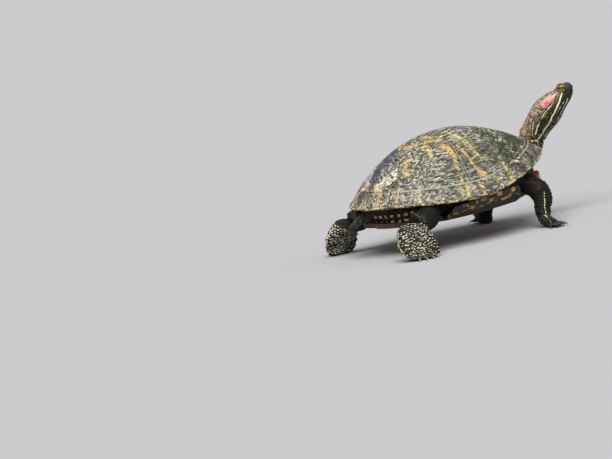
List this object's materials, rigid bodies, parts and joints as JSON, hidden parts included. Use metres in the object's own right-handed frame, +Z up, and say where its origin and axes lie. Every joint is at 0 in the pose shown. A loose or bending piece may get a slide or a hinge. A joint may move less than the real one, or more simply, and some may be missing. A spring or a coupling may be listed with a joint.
{
  "type": "slider turtle figure",
  "caption": "Life-size pond slider turtle standing on all four feet, its neck stretched up and its head turned a little to its right.",
  "frame": {"origin": "on the floor, under the middle of the box round the whole turtle", "axes": "+X towards the head, +Y to the turtle's left, +Z up; the floor is Z = 0"},
  "size_m": [0.2549, 0.1884, 0.1257],
  "materials": {
    "shell_horn": "dry, ridged horn",
    "rim_horn": "dry, worn horn",
    "plastron_horn": "smooth horn",
    "skin": "finely scaled skin",
    "dark_skin": "dark, scaled skin",
    "eye": "wet and glossy"
  },
  "bodies": {
    "root": {"eye_left": "eye", "eye_right": "eye", "forearm_left": "skin", "forearm_right": "skin", "forefoot_left": "dark_skin", "forefoot_right": "dark_skin", "head": "skin", "hindfoot_left": "dark_skin", "hindfoot_right": "dark_skin", "lower_jaw": "dark_skin", "marginal_rim": "rim_horn", "neck_lower": "skin", "neck_upper": "skin", "plastron": "plastron_horn", "pleural_scute_left_1": "shell_horn", "pleural_scute_left_2": "shell_horn", "pleural_scute_left_3": "shell_horn", "pleural_scute_left_4": "shell_horn", "pleural_scute_right_1": "shell_horn", "pleural_scute_right_2": "shell_horn", "pleural_scute_right_3": "shell_horn", "pleural_scute_right_4": "shell_horn", "shank_left": "skin", "shank_right": "skin", "tail": "dark_skin", "thigh_left": "skin", "thigh_right": "skin", "trunk": "dark_skin", "upper_arm_left": "skin", "upper_arm_right": "skin", "vertebral_scute_1": "shell_horn", "vertebral_scute_2": "shell_horn", "vertebral_scute_3": "shell_horn", "vertebral_scute_4": "shell_horn", "vertebral_scute_5": "shell_horn"}
  },
  "joints": []
}
